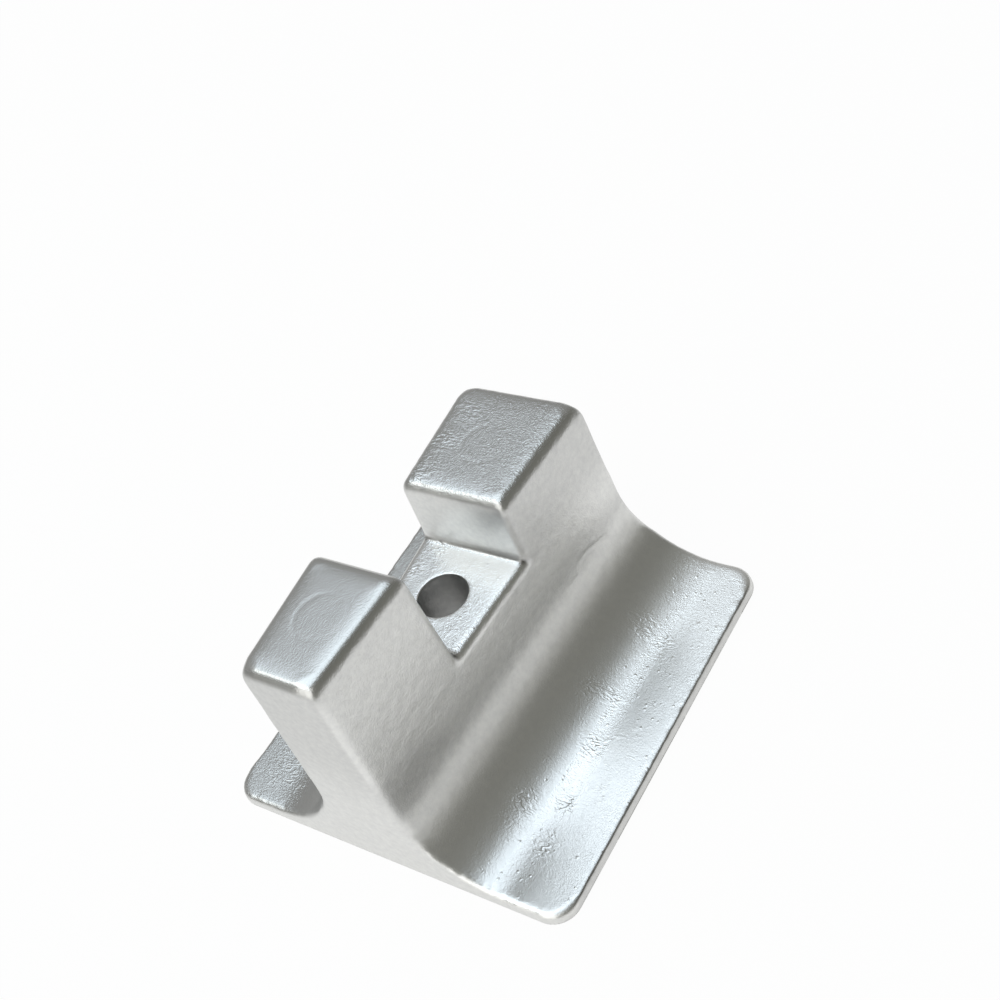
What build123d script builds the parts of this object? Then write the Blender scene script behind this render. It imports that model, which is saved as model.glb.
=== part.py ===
from build123d import *
import os
from math import radians, tan

# Horned block anode: one solid casting that bolts down through a notch between two horns.
# Millimetres and degrees. The origin is the middle of the underside, +Z is up, the block's
# length runs along Y, and the taller horn stands at -Y.

# Flange, the thin plate that spreads out on both sides of the block
base_length = 80.0
base_width = 78.8
base_taper = 0.5
flange_thickness = 2.2
corner_radius = 5.0

# Ridge, the upright block along the middle. It narrows in plan towards -Y and leans in
# with height, so its width is given at mid-length on the underside.
ridge_width = 24.0
ridge_taper = 3.6
flank_draft = 1.0
root_radius = 18.0

# Horns, and the draft that lets the end faces and the notch walls leave the mould
tall_horn_height = 54.4
short_horn_height = 44.8
end_draft = 1.75

# Notch between the horns, where the bolt's head sits
notch_floor_height = 30.0
notch_length = 22.5
notch_offset = -0.3

# Bolt hole, straight down from the notch floor to the underside
bolt_hole_diameter = 10.0
hole_rim_radius = 0.4

# Rounded edges of the casting
outline_radius = 1.2
notch_edge_radius = 1.8
crown_radius = 2.8

notch_start = notch_offset - notch_length / 2
notch_end = notch_offset + notch_length / 2


def end_lean(rise):
    """How far an end face or a notch wall leans over in a given rise."""
    return rise * tan(radians(end_draft))


def end_y(height):
    """Distance of both end faces from mid-length, at a height."""
    return base_length / 2 - end_lean(height)


def half_base(y):
    """Half the width of the flange on the underside, at a place along the length."""
    return base_width / 2 + y * tan(radians(base_taper))


def half_ridge(y, height):
    """Half the width of the ridge, at a place along the length and a height."""
    return ridge_width / 2 + y * tan(radians(ridge_taper)) - height * tan(radians(flank_draft))


def flank_plane(side):
    """The plane of one upright side of the ridge, facing outwards."""
    along = Vector(side * tan(radians(ridge_taper)), 1, 0)
    up = Vector(-side * tan(radians(flank_draft)), 0, 1)
    return Plane(origin=(side * half_ridge(0, 0), 0, 0), x_dir=along, z_dir=along.cross(up) * side)


def notch_wall_y(end, height):
    """Where the notch wall towards one end stands, at a height above the notch floor."""
    lean = end_lean(height - notch_floor_height)
    return notch_end + lean if end > 0 else notch_start - lean


def edges_near(points):
    """The casting's edges that pass nearest to the given points, one for each."""
    return [anode.edges().sort_by_distance(Vertex(*point))[0] for point in points]


with BuildPart() as anode:
    # Ridge and both horns, as the outline seen from the side
    with BuildSketch(Plane.YZ):
        with BuildLine():
            Polyline(
                (-base_length / 2, 0),
                (base_length / 2, 0),
                (end_y(short_horn_height), short_horn_height),
                (notch_wall_y(1, short_horn_height), short_horn_height),
                (notch_end, notch_floor_height),
                (notch_start, notch_floor_height),
                (notch_wall_y(-1, tall_horn_height), tall_horn_height),
                (-end_y(tall_horn_height), tall_horn_height),
                close=True,
            )
        make_face()
    extrude(amount=base_width / 2, both=True)
    for side in (-1, 1):
        split(bisect_by=flank_plane(side), keep=Keep.BOTTOM)

    # Flange, its ends flush with the ends of the ridge
    near, far = -base_length / 2, base_length / 2
    with BuildSketch(Plane.XY):
        Polygon(
            (-half_base(near), near),
            (half_base(near), near),
            (half_base(far), far),
            (-half_base(far), far),
            align=None,
        )
    extrude(amount=flange_thickness, taper=end_draft)

    # Large hollow curve from each flank out into the flange
    flange_top = flange_thickness
    fillet(
        edges_near((side * half_ridge(0, flange_top), 0, flange_top) for side in (-1, 1)),
        radius=root_radius,
    )

    # Rounded corners of the flange in plan
    fillet(
        edges_near((side * half_base(y), y, flange_top / 2) for side in (-1, 1) for y in (near, far)),
        radius=corner_radius,
    )

    # Bolt hole
    with Locations((0, notch_offset, notch_floor_height)):
        Hole(radius=bolt_hole_diameter / 2)

    # Outline: the upright corners of both end faces. Each runs on down the hollow curve and
    # right round the top of the flange in one smooth line.
    outline = []
    for end in (-1, 1):
        y = end * end_y(notch_floor_height)
        for side in (-1, 1):
            outline.append((side * half_ridge(y, notch_floor_height), y, notch_floor_height))
    fillet(edges_near(outline), radius=outline_radius)

    # Edges of the notch: the two sides of its floor, and the upright corners of its walls
    notch = []
    for side in (-1, 1):
        notch.append((side * half_ridge(notch_offset, notch_floor_height), notch_offset, notch_floor_height))
        for end in (-1, 1):
            height = (notch_floor_height + short_horn_height) / 2
            y = notch_wall_y(end, height)
            notch.append((side * half_ridge(y, height), y, height))
    fillet(edges_near(notch), radius=notch_edge_radius)

    # Crowns: all round the top of each horn, the two highest level faces
    horn_tops = anode.faces().filter_by(Axis.Z).sort_by(Axis.Z)[-2:]
    fillet(horn_tops.edges(), radius=crown_radius)

    # Rim of the bolt hole, on the notch floor
    rim_y = notch_offset + bolt_hole_diameter / 2
    fillet(edges_near([(0, rim_y, notch_floor_height)]), radius=hole_rim_radius)

anode.part.label = "anode"

os.makedirs("parts", exist_ok=True)
export_step(anode.part, "parts/anode.step")
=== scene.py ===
import math

import bmesh
import bpy
import numpy as np
from mathutils import Matrix, Vector, noise


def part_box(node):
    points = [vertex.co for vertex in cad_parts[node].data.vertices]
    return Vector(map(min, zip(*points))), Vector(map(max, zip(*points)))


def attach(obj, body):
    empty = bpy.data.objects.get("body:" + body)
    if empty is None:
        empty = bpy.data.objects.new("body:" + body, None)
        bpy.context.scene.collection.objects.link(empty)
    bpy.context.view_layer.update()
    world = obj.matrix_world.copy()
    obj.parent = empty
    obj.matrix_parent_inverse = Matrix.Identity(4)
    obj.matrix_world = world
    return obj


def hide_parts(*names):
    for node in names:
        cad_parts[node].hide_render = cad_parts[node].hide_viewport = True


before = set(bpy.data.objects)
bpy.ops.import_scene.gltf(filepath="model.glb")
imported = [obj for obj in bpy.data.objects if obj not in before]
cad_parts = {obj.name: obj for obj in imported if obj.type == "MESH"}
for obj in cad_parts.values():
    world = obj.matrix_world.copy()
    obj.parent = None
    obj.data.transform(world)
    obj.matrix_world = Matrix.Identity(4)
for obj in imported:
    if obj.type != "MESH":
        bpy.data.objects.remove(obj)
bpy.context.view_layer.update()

# Lengths in the shape code are millimetres, and one is MM metres.
MM = 0.001
LEVEL_TOLERANCE = 0.03

# The skin of the casting
SKIN_GRID = 0.45
EASY_BEND = 0.075
TIGHT_BEND = 0.15
RIM_ROUND = (1.2, 0.5)
HOLE_ROUND = (0.9, 0.3)
EDGE_SLIDE = 3.0
UPRIGHT_WEAR = 0.9
FIRST_TURNS = 3
BEND_TURNS = 14
MAIN_TURNS = 40

# Sizes and places on the casting: those of the solid, and then those of the photographed marks
BASE_TOP = 2.2
BASE_TAPER = 0.5
BASE_WIDENING = 0.305
CORNER_RADIUS = 5.0
END_DRAFT = 1.75
RIDGE_WIDTH = 24.0
RIDGE_TAPER = 3.6
FLANK_DRAFT = 1.0
NOTCH_FLOOR = 30.0
NOTCH_WALLS = (-11.55, 10.95)
HOLE_PLACE = -0.3
HOLE_RADIUS = 5.0
SHORT_HORN_TOP = 44.8
TALL_HORN_TOP = 54.4
LEFT_SHORTFALL = (0.7, 0.65)
TALL_HORN_PIN = (0.6, -24.4)
SHORT_HORN_PIN = (0.4, 24.4)
PIN_RADIUS = 4.8
RING_DEPTH = 0.045
LAP_LINE = ((30.5, 15.8), (27.8, 16.5), (25.1, 17.4), (23.4, 17.6), (21.9, 17.5))
LAP_TAIL = ((19.9, 15.7), (17.4, 15.9))
LAP_LINE_CUT = (0.30, 0.12)
LAP_TAIL_CUT = (0.28, 0.08)

# Where drops of melt froze first: place across and along, and reach
DROP_CLUSTERS = (
    (24.0, 20.1, 3.2), (29.0, 18.8, 2.4), (21.4, 4.1, 2.6), (25.8, 3.8, 2.4), (27.0, -6.6, 3.0),
    (21.0, -22.0, 3.0), (27.5, -19.0, 2.6), (28.0, -28.0, 3.2), (-9.0, 15.5, 4.0), (-9.0, 23.0, 3.4),
    (-8.0, 31.0, 3.0), (-9.5, 4.0, 2.6), (-7.0, 9.5, 2.6), (-30.0, -30.0, 7.0), (-24.0, -34.0, 5.0))

# Relief of the cast surface, as heights in millimetres
SWELL = 0.006
FLOW_RELIEF = 0.003
SIDE_RELIEF = 0.034
RIM_RELIEF = 0.08
FAR_END_SHARE = 0.25
CROWN_SHARE = 0.5
NOTCH_WALL_SHARE = 0.35
SEED = 11

# Finish: sizes of the fine marks in millimetres, roughness, colours of the metal, and the colours of
# painted light and shade
MARK_SIZE = 1.7
MARK_DEPTH = 0.015
STROKE_DEPTH = 0.050
BEAD_RISE = 0.065
GRAIN_DEPTH = 0.024
SATIN = (0.42, 0.27)
FLANGE_SATIN = 0.05
EVENNESS = 0.6
MOTTLE = ((0.65, 0.65, 0.65, 1), (0.745, 0.745, 0.735, 1))
# Painted light: added to the colour where the metal is to look lighter
PAINTED_LIGHT_GAIN = (0.16, 0.16, 0.157, 1)
# Painted shade: mixed into the colour of the horn tops and the left side of the open face
PAINTED_SHADE_TONE = (0.505, 0.505, 0.497, 1)
# Painted shade: the dark lines in the notch corners and along the flange's right rim
CREASE_SHADE_COLOUR = (0.16, 0.155, 0.15, 1)

# Camera
CAMERA_PLACE = (0.15552, -0.11222, 0.22465)
CAMERA_HEADING = -49.172
CAMERA_PITCH = -43.228
CAMERA_ROLL = -25.707
CAMERA_LENS = 53.687

# Room
FLOOR_REACH = 3.0
SHEET_EDGE = (0.14, 0.70)
FLOOR_IN_METAL = (0.95, 0.22)
MIRRORED_SHARE = 0.85
FLOOR_IN_CAMERA = 0.96
LIGHT_SIDE = (-62.0, 20.0)
ROOM_DARK = (0.233, 0.232, 0.207, 1)
ROOM_LIGHT = (0.42, 0.42, 0.41, 1)


def smooth_step(low, high, value):
    """0 below low, 1 above high, and a soft rise between."""
    t = np.clip((value - low) / (high - low), 0.0, 1.0)
    return t * t * (3.0 - 2.0 * t)


def edge_pairs(mesh):
    """The two vertex numbers of every edge."""
    pairs = np.empty(len(mesh.edges) * 2, dtype=np.int32)
    mesh.edges.foreach_get("vertices", pairs)
    return pairs.reshape(-1, 2)


def read_points(mesh):
    """Vertex places in millimetres."""
    points = np.empty(len(mesh.vertices) * 3, dtype=np.float32)
    mesh.vertices.foreach_get("co", points)
    return points.reshape(-1, 3).astype(np.float64) / MM


def write_points(mesh, points):
    """Puts vertex places in millimetres back on the mesh."""
    mesh.vertices.foreach_set("co", (points * MM).astype(np.float32).ravel())
    mesh.update()


def read_normals(mesh):
    """The vertex normals."""
    normals = np.empty(len(mesh.vertices) * 3, dtype=np.float32)
    mesh.vertex_normals.foreach_get("vector", normals)
    return normals.reshape(-1, 3).astype(np.float64)


def neighbour_mean(values, pairs):
    """The mean of each vertex's neighbours, for one value or several."""
    count = np.bincount(pairs.ravel(), minlength=len(values))
    columns = values.reshape(len(values), -1)
    mean = np.empty_like(columns)
    for k in range(columns.shape[1]):
        gathered = np.bincount(pairs[:, 0], columns[pairs[:, 1], k], len(values))
        gathered += np.bincount(pairs[:, 1], columns[pairs[:, 0], k], len(values))
        mean[:, k] = gathered / count
    return mean.reshape(values.shape)


def relax(points, pairs, pull, turns):
    """Moves each point towards its neighbours, by its own pull."""
    for turn in range(turns):
        points = points + (neighbour_mean(points, pairs) - points) * pull[:, None]
    return points


def bend(points, normals, pairs):
    """How tightly the skin turns, as one over the radius in millimetres."""
    turned = np.linalg.norm(normals[pairs[:, 0]] - normals[pairs[:, 1]], axis=1)
    apart = np.linalg.norm(points[pairs[:, 0]] - points[pairs[:, 1]], axis=1)
    each = turned / np.maximum(apart, 0.05)
    total = np.bincount(pairs[:, 0], each, len(points)) + np.bincount(pairs[:, 1], each, len(points))
    return total / np.bincount(pairs.ravel(), minlength=len(points))


def fractal(points, size, octaves, seed):
    """Seeded rolling noise about 0, with features of the given size in millimetres."""
    shift = Vector((seed * 17.3, seed * -9.1, seed * 5.7))
    return np.array([
        noise.fractal(Vector(p) + shift, 0.8, 2.0, octaves) for p in points / size
    ])


def crisp_edge(inward, down, round_now, round_new, depth):
    """Tightens a rounded edge between two faces; both distances are measured from the faces."""
    slide = round_now - round_new
    share = round_new / round_now
    corner = (inward < round_now) & (down < round_now)
    on_top = smooth_step(round_now + EDGE_SLIDE, round_now, inward) * (down < 0.4 * round_now)
    on_side = np.clip((depth - down) / (depth - round_now), 0.0, 1.0) * (inward < 0.4 * round_now)
    new_inward = np.where(corner, round_new + (inward - round_now) * share, inward - slide * on_top)
    new_down = np.where(corner, round_new + (down - round_now) * share, down - slide * on_side)
    return new_inward, new_down


def slope(degrees):
    """How much a face moves sideways per millimetre, for its draft or taper."""
    return math.tan(math.radians(degrees))


def side_face(y, z):
    """How far out the long side faces of the flange lie. The box ends at their widest place."""
    half_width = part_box("anode")[1].x / MM - BASE_WIDENING
    return half_width + y * slope(BASE_TAPER) - z * slope(END_DRAFT)


def end_face(z):
    """How far out the end faces lie."""
    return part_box("anode")[1].y / MM - z * slope(END_DRAFT)


def crisp_edges(points):
    """The long rims of the flange and the rim of the bolt hole are sharper than the other edges."""
    x, y, z = points.T
    side = np.sign(x)
    face = side_face(y, z)
    inward, down = crisp_edge(face - np.abs(x), BASE_TOP - z, RIM_ROUND[0], RIM_ROUND[1], BASE_TOP)
    long_side = smooth_step(36.0, 33.0, np.abs(y)) * (np.abs(x) > 20.0) * (z < BASE_TOP + 0.3)
    points[:, 0] = x + long_side * (side * (face - inward) - x)
    points[:, 2] = z + long_side * (BASE_TOP - down - z)

    x, y, z = points.T
    away = np.hypot(x, y - HOLE_PLACE)
    inward, down = crisp_edge(
        away - HOLE_RADIUS, NOTCH_FLOOR - z, HOLE_ROUND[0], HOLE_ROUND[1], NOTCH_FLOOR)
    by_hole = (away < HOLE_RADIUS + 4.5) & (np.abs(z - NOTCH_FLOOR) < 3.0)
    grow = np.where(by_hole, (HOLE_RADIUS + inward) / np.maximum(away, 1.0), 1.0)
    points[:, 0] = x * grow
    points[:, 1] = HOLE_PLACE + (y - HOLE_PLACE) * grow
    points[:, 2] = np.where(by_hole, NOTCH_FLOOR - down, z)
    return points


def square_foot(points):
    """The lower edge is as sharp all round as the solid's own."""
    x, y, z = points.T
    past_x = np.abs(x) - (side_face(y, z) - CORNER_RADIUS)
    past_y = np.abs(y) - (end_face(z) - CORNER_RADIUS)
    in_corner = (past_x > 0.0) & (past_y > 0.0)
    reach = np.where(in_corner, np.hypot(past_x, past_y), np.maximum(past_x, past_y))
    out_x = np.where(in_corner, past_x / np.maximum(reach, 0.1), past_x > past_y)
    out_y = np.where(in_corner, past_y / np.maximum(reach, 0.1), past_x <= past_y)
    inward = CORNER_RADIUS - reach
    by_floor = (inward < 0.7) & (z < 1.0)
    on_wall = by_floor & (inward <= z)
    moved_out = on_wall | (by_floor & (inward < 0.6))
    points[:, 0] = x + moved_out * inward * out_x * np.sign(x)
    points[:, 1] = y + moved_out * inward * out_y * np.sign(y)
    points[:, 2] = np.where(by_floor & ~on_wall, 0.0, z)
    return points


def worn_uprights(points):
    """Where the upright corners of both end faces are rounded more than the rest."""
    x, y, z = points.T
    half = RIDGE_WIDTH / 2 + y * slope(RIDGE_TAPER) - z * slope(FLANK_DRAFT)
    near_corner = smooth_step(4.2, 2.2, np.abs(np.abs(x) - half)) * smooth_step(34.5, 36.5, np.abs(y))
    return UPRIGHT_WEAR * near_corner * smooth_step(5.0, 12.0, z)


def grown_skin(node):
    """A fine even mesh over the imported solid, with its flat facets smoothed away."""
    seed = bpy.data.objects.new("skin_seed", node.data.copy())
    bpy.context.collection.objects.link(seed)
    grid = seed.modifiers.new("skin", "REMESH")
    grid.mode = "VOXEL"
    grid.voxel_size = SKIN_GRID * MM
    ready = seed.evaluated_get(bpy.context.evaluated_depsgraph_get())
    mesh = bpy.data.meshes.new_from_object(ready)
    bpy.data.objects.remove(seed)

    pairs = edge_pairs(mesh)
    points = read_points(mesh)
    points = relax(points, pairs, np.full(len(points), 0.5), FIRST_TURNS)
    write_points(mesh, points)
    turn = bend(points, read_normals(mesh), pairs)
    for smoothing in range(BEND_TURNS):
        turn = neighbour_mean(turn, pairs)
    easy = 1.0 - smooth_step(EASY_BEND, TIGHT_BEND, turn)
    points = relax(points, pairs, 0.5 * np.maximum(easy, worn_uprights(points)), MAIN_TURNS)
    points = square_foot(crisp_edges(points))
    points[:, 2] = np.maximum(points[:, 2], 0.0)
    write_points(mesh, points)
    return mesh


def flat_underside(mesh):
    """Swaps the fine grid under the casting for a few wide flat faces."""
    form = bmesh.new()
    form.from_mesh(mesh)
    level = LEVEL_TOLERANCE * MM
    spare = {f for f in form.faces if f.normal.z < -0.999 and all(v.co.z < level for v in f.verts)}
    for margin in range(2):
        spare = {f for f in spare if all(near in spare for e in f.edges for near in e.link_faces)}
    bmesh.ops.delete(form, geom=list(spare), context="FACES")
    rims = [e for e in form.edges if e.is_boundary]
    for e in rims:
        for v in e.verts:
            v.co.z = 0.0
    bmesh.ops.triangle_fill(form, use_beauty=True, use_dissolve=False, edges=rims, normal=(0, 0, -1))
    bmesh.ops.recalc_face_normals(form, faces=form.faces)
    form.to_mesh(mesh)
    form.free()


def top_side(points, normals):
    """How much each point belongs to the open side, where the melt froze against the cover."""
    return smooth_step(0.25, 0.85, normals[:, 2]) * smooth_step(0.8, 1.6, points[:, 2])


def flow_strength(points, normals):
    """How strongly the flow marks show: on the flanges and tops, in patches, hardly on the sides."""
    x, y, z = points.T
    patches = smooth_step(-0.15, 0.35, fractal(points, 9.0, 2, SEED))
    open_side = top_side(points, normals)
    strength = open_side * (0.85 + 0.3 * patches)
    strength *= 1.0 - 0.6 * on_tall_top(z)
    broad_flange = smooth_step(12.0, 16.0, x) * smooth_step(26.0, 20.0, z)
    flank = smooth_step(0.5, 0.9, normals[:, 0]) * smooth_step(12.0, 18.0, z)
    return strength * (1.0 - 0.62 * broad_flange) + 0.06 + 0.95 * flank


def on_tall_top(z):
    """1 on the top of the tall horn, 0 lower down."""
    return smooth_step(SHORT_HORN_TOP + 2.0, TALL_HORN_TOP - 1.0, z)


def drop_strength(points, normals):
    """How thickly the frozen drops stand: in clusters, and thinly between them."""
    x, y, z = points.T
    patchy = 0.5 + 0.5 * fractal(points, 2.4, 2, SEED + 5)
    strength = 0.3 * smooth_step(0.45, 0.95, patchy)
    for across, along, reach in DROP_CLUSTERS:
        away = np.hypot(x - across, y - along)
        cluster = smooth_step(1.5 * reach, 0.0, away) * np.clip(0.2 + 1.2 * patchy, 0.0, 1.0)
        strength = np.maximum(strength, cluster)
    strength *= 1.0 + 0.8 * (z > 25.0)
    return strength * top_side(points, normals) * (1.0 - on_tall_top(z))


def ridges(points, size, octaves, seed):
    """Thin rounded ridges, from 0 to 1."""
    return 1.0 - np.clip(np.abs(fractal(points, size, octaves, seed)) * 2.2, 0.0, 1.0)


def ring_mark(points, centre, top):
    """The faint circle that an ejector pin leaves on a level top."""
    away = np.hypot(points[:, 0] - centre[0], points[:, 1] - centre[1]) - PIN_RADIUS
    near_top = smooth_step(top - 1.0, top - 0.3, points[:, 2]) * (points[:, 2] < top + 1.0)
    around = np.arctan2(points[:, 1] - centre[1], points[:, 0] - centre[0])
    worn = 0.2 + 0.8 * smooth_step(-0.2, 0.7, np.cos(around - math.radians(195.0)))
    return -RING_DEPTH * near_top * worn * np.exp(-(away / 0.35) ** 2)


def line_mark(points, line, cut):
    """A fold in the flank where two streams of melt met, cut as wide and deep as given."""
    width, depth = cut
    nearest = np.full(len(points), 1e3)
    for (y0, z0), (y1, z1) in zip(line, line[1:]):
        run = np.array([y1 - y0, z1 - z0])
        offset = points[:, 1:] - np.array([y0, z0])
        share = np.clip(offset @ run / (run @ run), 0.0, 1.0)
        nearest = np.minimum(nearest, np.linalg.norm(offset - share[:, None] * run, axis=1))
    on_flank = (points[:, 0] > 8.0) & (points[:, 0] < 20.0)
    return -depth * np.exp(-(nearest / width) ** 2) * on_flank


def rim_strength(points, normals):
    """How uneven the edges are: along the flange, at its ends and round the short horn's crown."""
    x, y, z = points.T
    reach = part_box("anode")[1] / MM
    rising = smooth_step(0.2, 0.5, normals[:, 2])
    long_rim = smooth_step(reach.x - 1.6, reach.x - 0.6, np.abs(x)) * smooth_step(1.0, 1.6, z)
    end_rim = smooth_step(reach.y - 2.0, reach.y - 1.0, np.abs(y)) * rising
    end_rim = end_rim * (z > 1.0) * np.where(y < 0.0, 1.0, FAR_END_SHARE)
    crown = smooth_step(0.995, 0.95, normals[:, 2]) * rising
    crown = CROWN_SHARE * crown * (z > SHORT_HORN_TOP - 4.0) * (1.0 - on_tall_top(z))
    return np.maximum(np.maximum(long_rim, end_rim), crown)


def relief_height(points, normals, flow):
    """How far the cast surface stands over the smooth skin, in millimetres."""
    y, z = points[:, 1], points[:, 2]
    in_notch = (np.abs(y) < 13.0) & (np.abs(normals[:, 1]) > 0.7)
    sides = (1.0 - top_side(points, normals)) * np.where(in_notch, NOTCH_WALL_SHARE, 1.0)
    height = SWELL * fractal(points, 11.0, 2, SEED + 1)
    height += FLOW_RELIEF * flow * (2.0 * ridges(points, 1.5, 2, SEED + 2) - 1.0)
    height += SIDE_RELIEF * sides * fractal(points, 2.2, 2, SEED + 4)
    height += RIM_RELIEF * rim_strength(points, normals) * fractal(points, 1.6, 2, SEED + 3)
    height += ring_mark(points, TALL_HORN_PIN, TALL_HORN_TOP)
    height += ring_mark(points, SHORT_HORN_PIN, SHORT_HORN_TOP)
    height += line_mark(points, LAP_LINE, LAP_LINE_CUT) + line_mark(points, LAP_TAIL, LAP_TAIL_CUT)
    return height * smooth_step(0.3, 1.2, z)


def crease_shade_strength(points):
    """Painted shade in dark lines: in the inner corners of the notch, and along the flange's right rim.
    """
    x, y, z = points.T
    wall = np.minimum(np.abs(y - NOTCH_WALLS[0]), np.abs(y - NOTCH_WALLS[1]))
    corners = np.exp(-(wall ** 2 + (z - NOTCH_FLOOR) ** 2) / 0.5 ** 2)
    from_rim = (side_face(y, z) - x - 0.25) ** 2 + (z - BASE_TOP + 0.2) ** 2
    rim_shade = 0.75 + 0.25 * smooth_step(-0.3, 0.3, fractal(points, 1.2, 2, SEED + 6))
    return np.maximum(corners, 0.8 * rim_shade * np.exp(-from_rim / 0.3 ** 2))


def painted_light_strength(points, normals, open_side, broad_flange):
    """Where painted light lifts the colour: flanks, their foot, near end, broad flange and far notch
    wall.
    """
    x, y, z = points.T
    sideways = np.abs(normals[:, 0])
    top_of_pale = 34.0 + 24.0 * smooth_step(2.0, -10.0, y)
    flanks = (1.0 - open_side) * smooth_step(top_of_pale, top_of_pale - 12.0, z)
    flanks *= smooth_step(16.0, 24.0, z - 6.0 * smooth_step(-18.0, -30.0, y))
    flanks *= smooth_step(0.3, 0.7, sideways)
    foot = smooth_step(0.66, 0.5, normals[:, 2]) * smooth_step(0.12, 0.3, normals[:, 2]) * (z < 18.0)
    near_end = (y < -30.0) * smooth_step(-0.3, -0.7, normals[:, 1]) * smooth_step(36.0, 18.0, z)
    far_wall = smooth_step(1.0, 0.4, np.abs(y - NOTCH_WALLS[1])) * (normals[:, 1] < -0.7)
    far_wall *= smooth_step(NOTCH_FLOOR, NOTCH_FLOOR + 1.0, z)
    along = np.clip(y / 24.0, -1.0, 1.0)
    pale = np.maximum(flanks, 0.9 * foot * (sideways > 0.6))
    pale = np.maximum(pale, 0.56 * near_end)
    pale = np.maximum(pale, (0.52 + 0.48 * along) * broad_flange)
    pale = np.maximum(pale, 0.6 * far_wall)
    return pale * (np.hypot(x, y) > HOLE_RADIUS + 2.0)


def cast_relief(mesh):
    """Presses the marks of the casting into the skin, and keeps their strength for the finish, together
    with the masks of painted light and shade.
    """
    points = read_points(mesh)
    normals = read_normals(mesh)
    x, y, z = points.T
    flow = flow_strength(points, normals)
    height = relief_height(points, normals, flow)
    write_points(mesh, points + normals * height[:, None])

    open_side = top_side(points, normals)
    level = smooth_step(0.9, 0.985, normals[:, 2])
    broad_flange = smooth_step(20.0, 27.0, x) * open_side
    in_hollow = smooth_step(26.0, 20.0, z) * smooth_step(1.0, 0.8, normals[:, 2])
    satin = SATIN[0] + (SATIN[1] - SATIN[0]) * open_side * (1.0 - 0.55 * in_hollow)
    satin += FLANGE_SATIN * open_side * smooth_step(29.0, 33.0, x)
    on_horns = 0.8 * smooth_step(SHORT_HORN_TOP - 3.0, SHORT_HORN_TOP - 1.0, z)
    strengths = {
        "flow": flow,
        "drops": drop_strength(points, normals),
        "beads": open_side * (1.0 - on_tall_top(z)) * (0.35 + 0.65 * level),
        "evenness": EVENNESS * open_side,
        "satin": satin,
        # pale is painted light, fold is painted shade in corners and along the rim, dull is painted
        # shade on the tops
        "pale": painted_light_strength(points, normals, open_side, broad_flange),
        "fold": crease_shade_strength(points),
        "painted_shade": open_side * np.maximum(on_horns, smooth_step(-12.0, -16.0, x)),
    }
    for name, values in strengths.items():
        store = mesh.attributes.new(name, "FLOAT", "POINT")
        store.data.foreach_set("value", values.astype(np.float32))


def narrow_left_flange(mesh):
    """The photographed flange reaches a little less far on its left than on its right."""
    points = read_points(mesh)
    x, y, z = points.T
    at_corner, further_on = LEFT_SHORTFALL
    narrower = at_corner * smooth_step(-37.0, -29.0, y)
    narrower += further_on * np.clip((y + 29.0) / 55.0, 0.0, 1.0)
    points[:, 0] = x + narrower * smooth_step(-24.0, -37.0, x)
    write_points(mesh, points)


def anode_casting():
    """The whole anode: one casting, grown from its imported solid."""
    mesh = grown_skin(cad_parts["anode"])
    cast_relief(mesh)
    narrow_left_flange(mesh)
    flat_underside(mesh)
    mesh.name = "anode_casting"
    mesh.shade_smooth()
    casting = bpy.data.objects.new("anode_casting", mesh)
    bpy.context.collection.objects.link(casting)
    mesh.materials.clear()
    mesh.materials.append(cast_skin())
    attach(casting, "root")
    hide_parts("anode")


def new_material(name):
    """An empty node material with its output."""
    material = bpy.data.materials.new(name)
    material.use_nodes = True
    material.node_tree.nodes.clear()
    return material


def add_node(tree, kind, **values):
    """A node with its settings, and its unlinked sockets filled in by name."""
    node = tree.nodes.new(kind)
    for name, value in values.items():
        if hasattr(node, name):
            setattr(node, name, value)
        else:
            node.inputs[name.replace("_", " ")].default_value = value
    return node


def remap(tree, given, wanted, interpolation="SMOOTHSTEP"):
    """A node that turns one range of values into another."""
    node = add_node(tree, "ShaderNodeMapRange", interpolation_type=interpolation)
    for name, (low, high) in (("From", given), ("To", wanted)):
        node.inputs[f"{name} Min"].default_value = low
        node.inputs[f"{name} Max"].default_value = high
    return node


def new_group(name, inputs, outputs):
    """A shader node group with named float or vector sockets."""
    group = bpy.data.node_groups.new(name, "ShaderNodeTree")
    kinds = {"f": "NodeSocketFloat", "v": "NodeSocketVector"}
    for side, sockets in (("INPUT", inputs), ("OUTPUT", outputs)):
        for label, kind in sockets:
            group.interface.new_socket(label, in_out=side, socket_type=kinds[kind])
    return group, group.nodes.new("NodeGroupInput"), group.nodes.new("NodeGroupOutput")


def flow_marks_group():
    """Thin curled ridges, as a height in millimetres. Place is in millimetres."""
    group, given, result = new_group(
        "flow_marks", [("Place", "v"), ("Size", "f"), ("Curl", "f"), ("Depth", "f")], [("Height", "f")])
    link = group.links.new
    grain = add_node(group, "ShaderNodeTexNoise", Detail=1.0, Roughness=0.5)
    middle = add_node(group, "ShaderNodeMath", operation="SUBTRACT")
    middle.inputs[1].default_value = 0.5
    folded = add_node(group, "ShaderNodeMath", operation="ABSOLUTE")
    ridge = remap(group, (0.0, 0.16), (1.0, 0.0))
    deep = add_node(group, "ShaderNodeMath", operation="MULTIPLY")
    link(given.outputs["Place"], grain.inputs["Vector"])
    link(given.outputs["Size"], grain.inputs["Scale"])
    link(given.outputs["Curl"], grain.inputs["Distortion"])
    link(grain.outputs[0], middle.inputs[0])
    link(middle.outputs[0], folded.inputs[0])
    link(folded.outputs[0], ridge.inputs["Value"])
    link(ridge.outputs[0], deep.inputs[0])
    link(given.outputs["Depth"], deep.inputs[1])
    link(deep.outputs[0], result.inputs["Height"])
    return group


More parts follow.
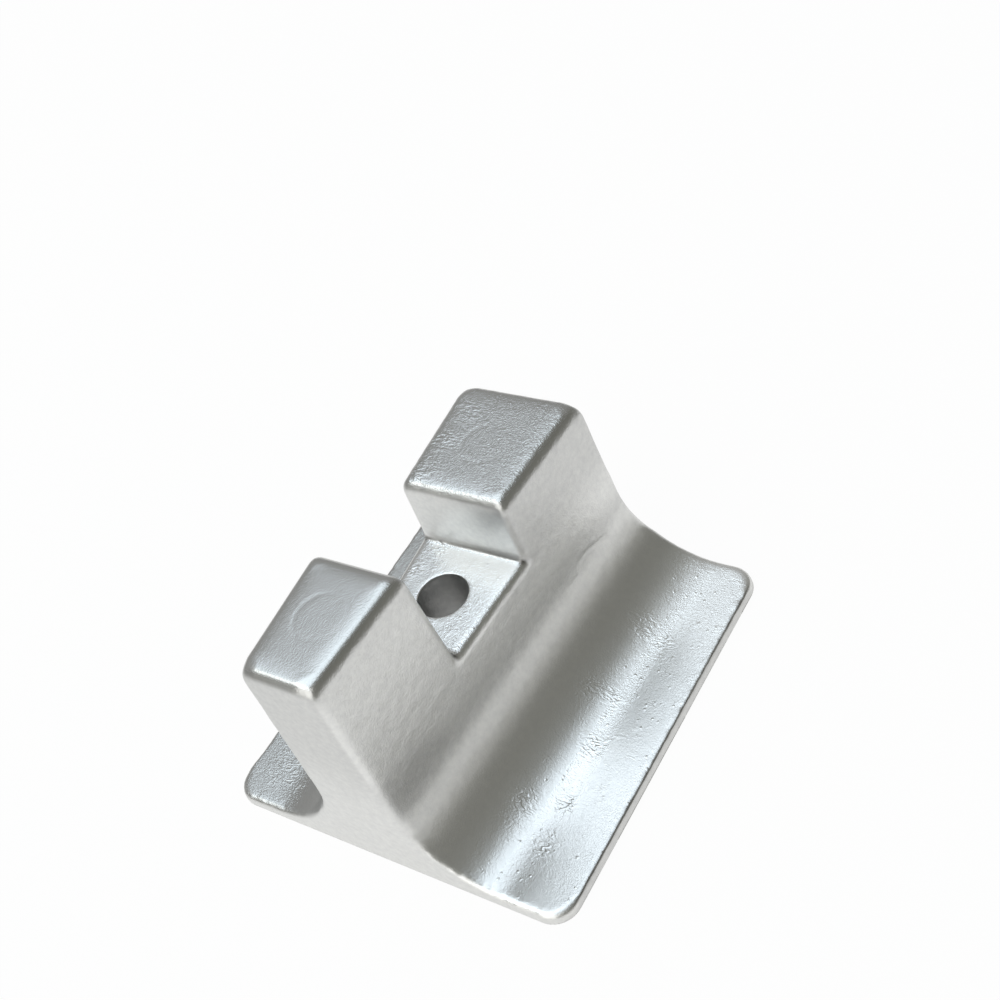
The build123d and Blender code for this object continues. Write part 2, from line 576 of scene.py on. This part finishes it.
def speck_group():
    """Small beads and pits at scattered places, as a height in millimetres."""
    group, given, result = new_group(
        "specks", [("Place", "v"), ("Spacing", "f"), ("Rise", "f")], [("Height", "f")])
    link = group.links.new
    cells = add_node(group, "ShaderNodeTexVoronoi", voronoi_dimensions="2D")
    dot = remap(group, (0.0, 0.28), (1.0, 0.0))
    apart = add_node(group, "ShaderNodeSeparateColor")
    chosen = add_node(group, "ShaderNodeMath", operation="GREATER_THAN")
    chosen.inputs[1].default_value = 0.90
    sign = add_node(group, "ShaderNodeMath", operation="SUBTRACT")
    sign.inputs[1].default_value = 0.12
    kept = add_node(group, "ShaderNodeMath", operation="MULTIPLY")
    signed = add_node(group, "ShaderNodeMath", operation="MULTIPLY")
    high = add_node(group, "ShaderNodeMath", operation="MULTIPLY")
    link(given.outputs["Place"], cells.inputs["Vector"])
    link(given.outputs["Spacing"], cells.inputs["Scale"])
    link(cells.outputs["Distance"], dot.inputs["Value"])
    link(cells.outputs["Color"], apart.inputs[0])
    link(apart.outputs[0], chosen.inputs[0])
    link(apart.outputs[1], sign.inputs[0])
    link(dot.outputs[0], kept.inputs[0])
    link(chosen.outputs[0], kept.inputs[1])
    link(kept.outputs[0], signed.inputs[0])
    link(sign.outputs[0], signed.inputs[1])
    link(signed.outputs[0], high.inputs[0])
    link(given.outputs["Rise"], high.inputs[1])
    link(high.outputs[0], result.inputs["Height"])
    return group


def cast_skin():
    """Satin die-cast alloy: flow marks on the open side, a fine grain and scattered specks."""
    material = new_material("cast_skin")
    tree = material.node_tree
    link = tree.links.new
    out = add_node(tree, "ShaderNodeOutputMaterial")
    metal = add_node(tree, "ShaderNodeBsdfPrincipled", Metallic=1.0)
    relief = add_node(tree, "ShaderNodeBump", Strength=1.0, Distance=MM)
    place = add_node(tree, "ShaderNodeTexCoord")
    ruler = add_node(tree, "ShaderNodeVectorMath", operation="SCALE")
    ruler.inputs["Scale"].default_value = 1.0 / MM
    link(place.outputs["Object"], ruler.inputs[0])

    # Relief, from the fine grain up to the beads
    curls = flow_marks_group()
    dots = speck_group()
    flow, drops, beads, evenness, satin = (
        add_node(tree, "ShaderNodeAttribute", attribute_name=name)
        for name in ("flow", "drops", "beads", "evenness", "satin"))
    slanted = add_node(tree, "ShaderNodeMapping")
    slanted.inputs["Rotation"].default_value = (0.0, 0.0, math.radians(-12.0))
    slanted.inputs["Scale"].default_value = (0.55, 1.2, 1.0)
    link(ruler.outputs[0], slanted.inputs["Vector"])
    layers = (
        (curls, {"Size": MARK_SIZE, "Curl": 0.5, "Depth": MARK_DEPTH}, ruler, flow),
        (curls, {"Size": 0.95, "Curl": 0.4, "Depth": STROKE_DEPTH}, slanted, drops),
        (dots, {"Spacing": 0.8, "Rise": BEAD_RISE}, ruler, beads),
        (dots, {"Spacing": 1.5, "Rise": 0.25 * BEAD_RISE}, ruler, beads),
    )
    grain = add_node(tree, "ShaderNodeTexNoise", Scale=3.2, Detail=3.0, Roughness=0.6)
    link(ruler.outputs[0], grain.inputs["Vector"])
    height = add_node(tree, "ShaderNodeMath", operation="MULTIPLY")
    height.inputs[1].default_value = GRAIN_DEPTH
    link(grain.outputs[0], height.inputs[0])
    for kind, settings, mapped, where in layers:
        layer = add_node(tree, "ShaderNodeGroup", node_tree=kind)
        for name, value in settings.items():
            layer.inputs[name].default_value = value
        link(mapped.outputs[0], layer.inputs["Place"])
        here = add_node(tree, "ShaderNodeMath", operation="MULTIPLY_ADD")
        link(layer.outputs["Height"], here.inputs[0])
        link(where.outputs["Fac"], here.inputs[1])
        link(height.outputs[0], here.inputs[2])
        height = here
    link(height.outputs[0], relief.inputs["Height"])
    link(relief.outputs[0], metal.inputs["Normal"])

    # Colour, from the mottled metal up to the painted light and shade
    cloud = add_node(tree, "ShaderNodeTexNoise", Scale=0.8, Detail=4.0, Roughness=0.65)
    link(ruler.outputs[0], cloud.inputs["Vector"])
    contrast = remap(tree, (0.3, 0.7), (0.0, 1.0), "LINEAR")
    link(cloud.outputs[0], contrast.inputs["Value"])
    evened = add_node(tree, "ShaderNodeMix", data_type="FLOAT")
    evened.inputs["B"].default_value = 0.5
    link(evenness.outputs["Fac"], evened.inputs["Factor"])
    link(contrast.outputs[0], evened.inputs["A"])
    tone = add_node(tree, "ShaderNodeMix", data_type="RGBA")
    tone.inputs["A"].default_value, tone.inputs["B"].default_value = MOTTLE
    link(evened.outputs["Result"], tone.inputs["Factor"])
    # Painted light is added, then painted shade on the tops and left side, then painted shade in the
    # corners and along the rim
    tints = (("pale", "ADD", PAINTED_LIGHT_GAIN), ("painted_shade", "MIX", PAINTED_SHADE_TONE), ("fold", "MIX", CREASE_SHADE_COLOUR))
    for name, blend, colour in tints:
        strength = add_node(tree, "ShaderNodeAttribute", attribute_name=name)
        tinted = add_node(tree, "ShaderNodeMix", data_type="RGBA", blend_type=blend)
        tinted.inputs["B"].default_value = colour
        link(strength.outputs["Fac"], tinted.inputs["Factor"])
        link(tone.outputs["Result"], tinted.inputs["A"])
        tone = tinted
    link(tone.outputs["Result"], metal.inputs["Base Color"])
    link(satin.outputs["Fac"], metal.inputs["Roughness"])
    link(metal.outputs[0], out.inputs[0])
    return material


def studio_floor():
    """The pale floor that the anode stands on."""
    mesh = bpy.data.meshes.new("studio_floor")
    r = FLOOR_REACH
    mesh.from_pydata([(-r, -r, 0), (r, -r, 0), (r, r, 0), (-r, r, 0)], [], [(0, 1, 2, 3)])
    floor = bpy.data.objects.new("studio_floor", mesh)
    bpy.context.collection.objects.link(floor)
    mesh.materials.append(pale_floor())


def pale_floor():
    """White to the camera and in the metal close by, with the part's shadow kept."""
    material = new_material("pale_floor")
    tree = material.node_tree
    link = tree.links.new
    out = add_node(tree, "ShaderNodeOutputMaterial")
    paper = add_node(tree, "ShaderNodeBsdfDiffuse", Color=(0.82, 0.82, 0.81, 1))
    white = add_node(tree, "ShaderNodeEmission", Color=(1, 1, 1, 1), Strength=1.0)
    sheet = add_node(tree, "ShaderNodeEmission", Color=(1, 1, 0.985, 1))
    path = add_node(tree, "ShaderNodeLightPath")
    place = add_node(tree, "ShaderNodeNewGeometry")
    away = add_node(tree, "ShaderNodeVectorMath", operation="LENGTH")
    near = remap(tree, SHEET_EDGE, FLOOR_IN_METAL)
    mirrored = add_node(tree, "ShaderNodeMath", operation="MULTIPLY")
    mirrored.inputs[1].default_value = MIRRORED_SHARE
    seen = add_node(tree, "ShaderNodeMath", operation="MULTIPLY")
    seen.inputs[1].default_value = FLOOR_IN_CAMERA
    in_metal = add_node(tree, "ShaderNodeMixShader")
    blend = add_node(tree, "ShaderNodeMixShader")
    link(place.outputs["Position"], away.inputs[0])
    link(away.outputs["Value"], near.inputs["Value"])
    link(near.outputs[0], sheet.inputs["Strength"])
    link(path.outputs["Is Glossy Ray"], mirrored.inputs[0])
    link(path.outputs["Is Camera Ray"], seen.inputs[0])
    link(mirrored.outputs[0], in_metal.inputs[0])
    link(paper.outputs[0], in_metal.inputs[1])
    link(sheet.outputs[0], in_metal.inputs[2])
    link(seen.outputs[0], blend.inputs[0])
    link(in_metal.outputs[0], blend.inputs[1])
    link(white.outputs[0], blend.inputs[2])
    link(blend.outputs[0], out.inputs[0])
    return material


def towards(heading, height):
    """The direction with a heading, 0 at +Y and 90 at +X, and a height in degrees."""
    turn, rise = math.radians(heading), math.radians(height)
    return Vector((math.sin(turn) * math.cos(rise), math.cos(turn) * math.cos(rise), math.sin(rise)))


def soft_light(name, heading, height, distance, size, strength, colour, shift=(0.0, 0.0)):
    """A soft box turned to the casting, and shifted in its own plane by shares of the distance.

    Strength 1 looks white in a perfect mirror.
    """
    lamp = bpy.data.lights.new(name, "AREA")
    lamp.shape = "RECTANGLE"
    lamp.size, lamp.size_y = size
    lamp.energy = strength * math.pi * size[0] * size[1]
    lamp.color = colour
    light = bpy.data.objects.new(name, lamp)
    bpy.context.collection.objects.link(light)
    direction = towards(heading, height)
    facing = direction.to_track_quat("Z", "Y")
    light.location = distance * (direction + facing @ Vector((shift[0], shift[1], 0.0)))
    light.rotation_mode = "QUATERNION"
    light.rotation_quaternion = facing
    light.visible_camera = False


def studio_room():
    """White behind the part for the camera, and a plain room, lighter on one side, for the metal."""
    world = bpy.data.worlds.new("studio_room")
    bpy.context.scene.world = world
    world.use_nodes = True
    tree = world.node_tree
    link = tree.links.new
    tree.nodes.clear()
    out = add_node(tree, "ShaderNodeOutputWorld")
    direction = add_node(tree, "ShaderNodeTexCoord")
    side = add_node(tree, "ShaderNodeVectorMath", operation="DOT_PRODUCT")
    side.inputs[1].default_value = towards(*LIGHT_SIDE)
    rise = remap(tree, (0.0, 1.0), (0.0, 1.0), "SMOOTHERSTEP")
    tone = add_node(tree, "ShaderNodeMix", data_type="RGBA")
    tone.inputs["A"].default_value = ROOM_DARK
    tone.inputs["B"].default_value = ROOM_LIGHT
    room = add_node(tree, "ShaderNodeBackground")
    white = add_node(tree, "ShaderNodeBackground", Color=(1, 1, 1, 1))
    path = add_node(tree, "ShaderNodeLightPath")
    blend = add_node(tree, "ShaderNodeMixShader")
    link(direction.outputs["Generated"], side.inputs[0])
    link(side.outputs["Value"], rise.inputs["Value"])
    link(rise.outputs[0], tone.inputs["Factor"])
    link(tone.outputs["Result"], room.inputs["Color"])
    link(path.outputs["Is Camera Ray"], blend.inputs[0])
    link(room.outputs[0], blend.inputs[1])
    link(white.outputs[0], blend.inputs[2])
    link(blend.outputs[0], out.inputs[0])


def photograph_camera():
    """The camera at the photograph's place, heading, pitch and roll."""
    lens = bpy.data.cameras.new("photograph_camera")
    lens.sensor_width = 36.0
    lens.lens = CAMERA_LENS
    lens.clip_start = 0.01
    lens.clip_end = 20.0
    camera = bpy.data.objects.new("photograph_camera", lens)
    bpy.context.collection.objects.link(camera)
    turn = Matrix.Rotation(-math.radians(CAMERA_HEADING), 4, "Z")
    tilt = Matrix.Rotation(math.radians(90.0 + CAMERA_PITCH), 4, "X")
    roll = Matrix.Rotation(math.radians(CAMERA_ROLL), 4, "Z")
    camera.matrix_world = Matrix.Translation(CAMERA_PLACE) @ turn @ tilt @ roll
    bpy.context.scene.camera = camera


anode_casting()
studio_floor()
studio_room()
soft_light(
    "overhead_soft_box", heading=-72.0, height=72.0, distance=1.5, size=(1.885, 1.33), strength=1.56,
    colour=(0.845, 0.97, 1.075), shift=(0.238, 0.052))
soft_light(
    "front_window", heading=-176.0, height=32.0, distance=1.5, size=(1.34, 1.73), strength=1.4,
    colour=(1.0, 1.0, 0.98))
soft_light(
    "warm_fill", heading=-127.0, height=49.0, distance=1.2, size=(0.46, 0.29), strength=1.5,
    colour=(1.0, 0.975, 0.84))
photograph_camera()
bpy.context.scene.view_settings.view_transform = "Standard"
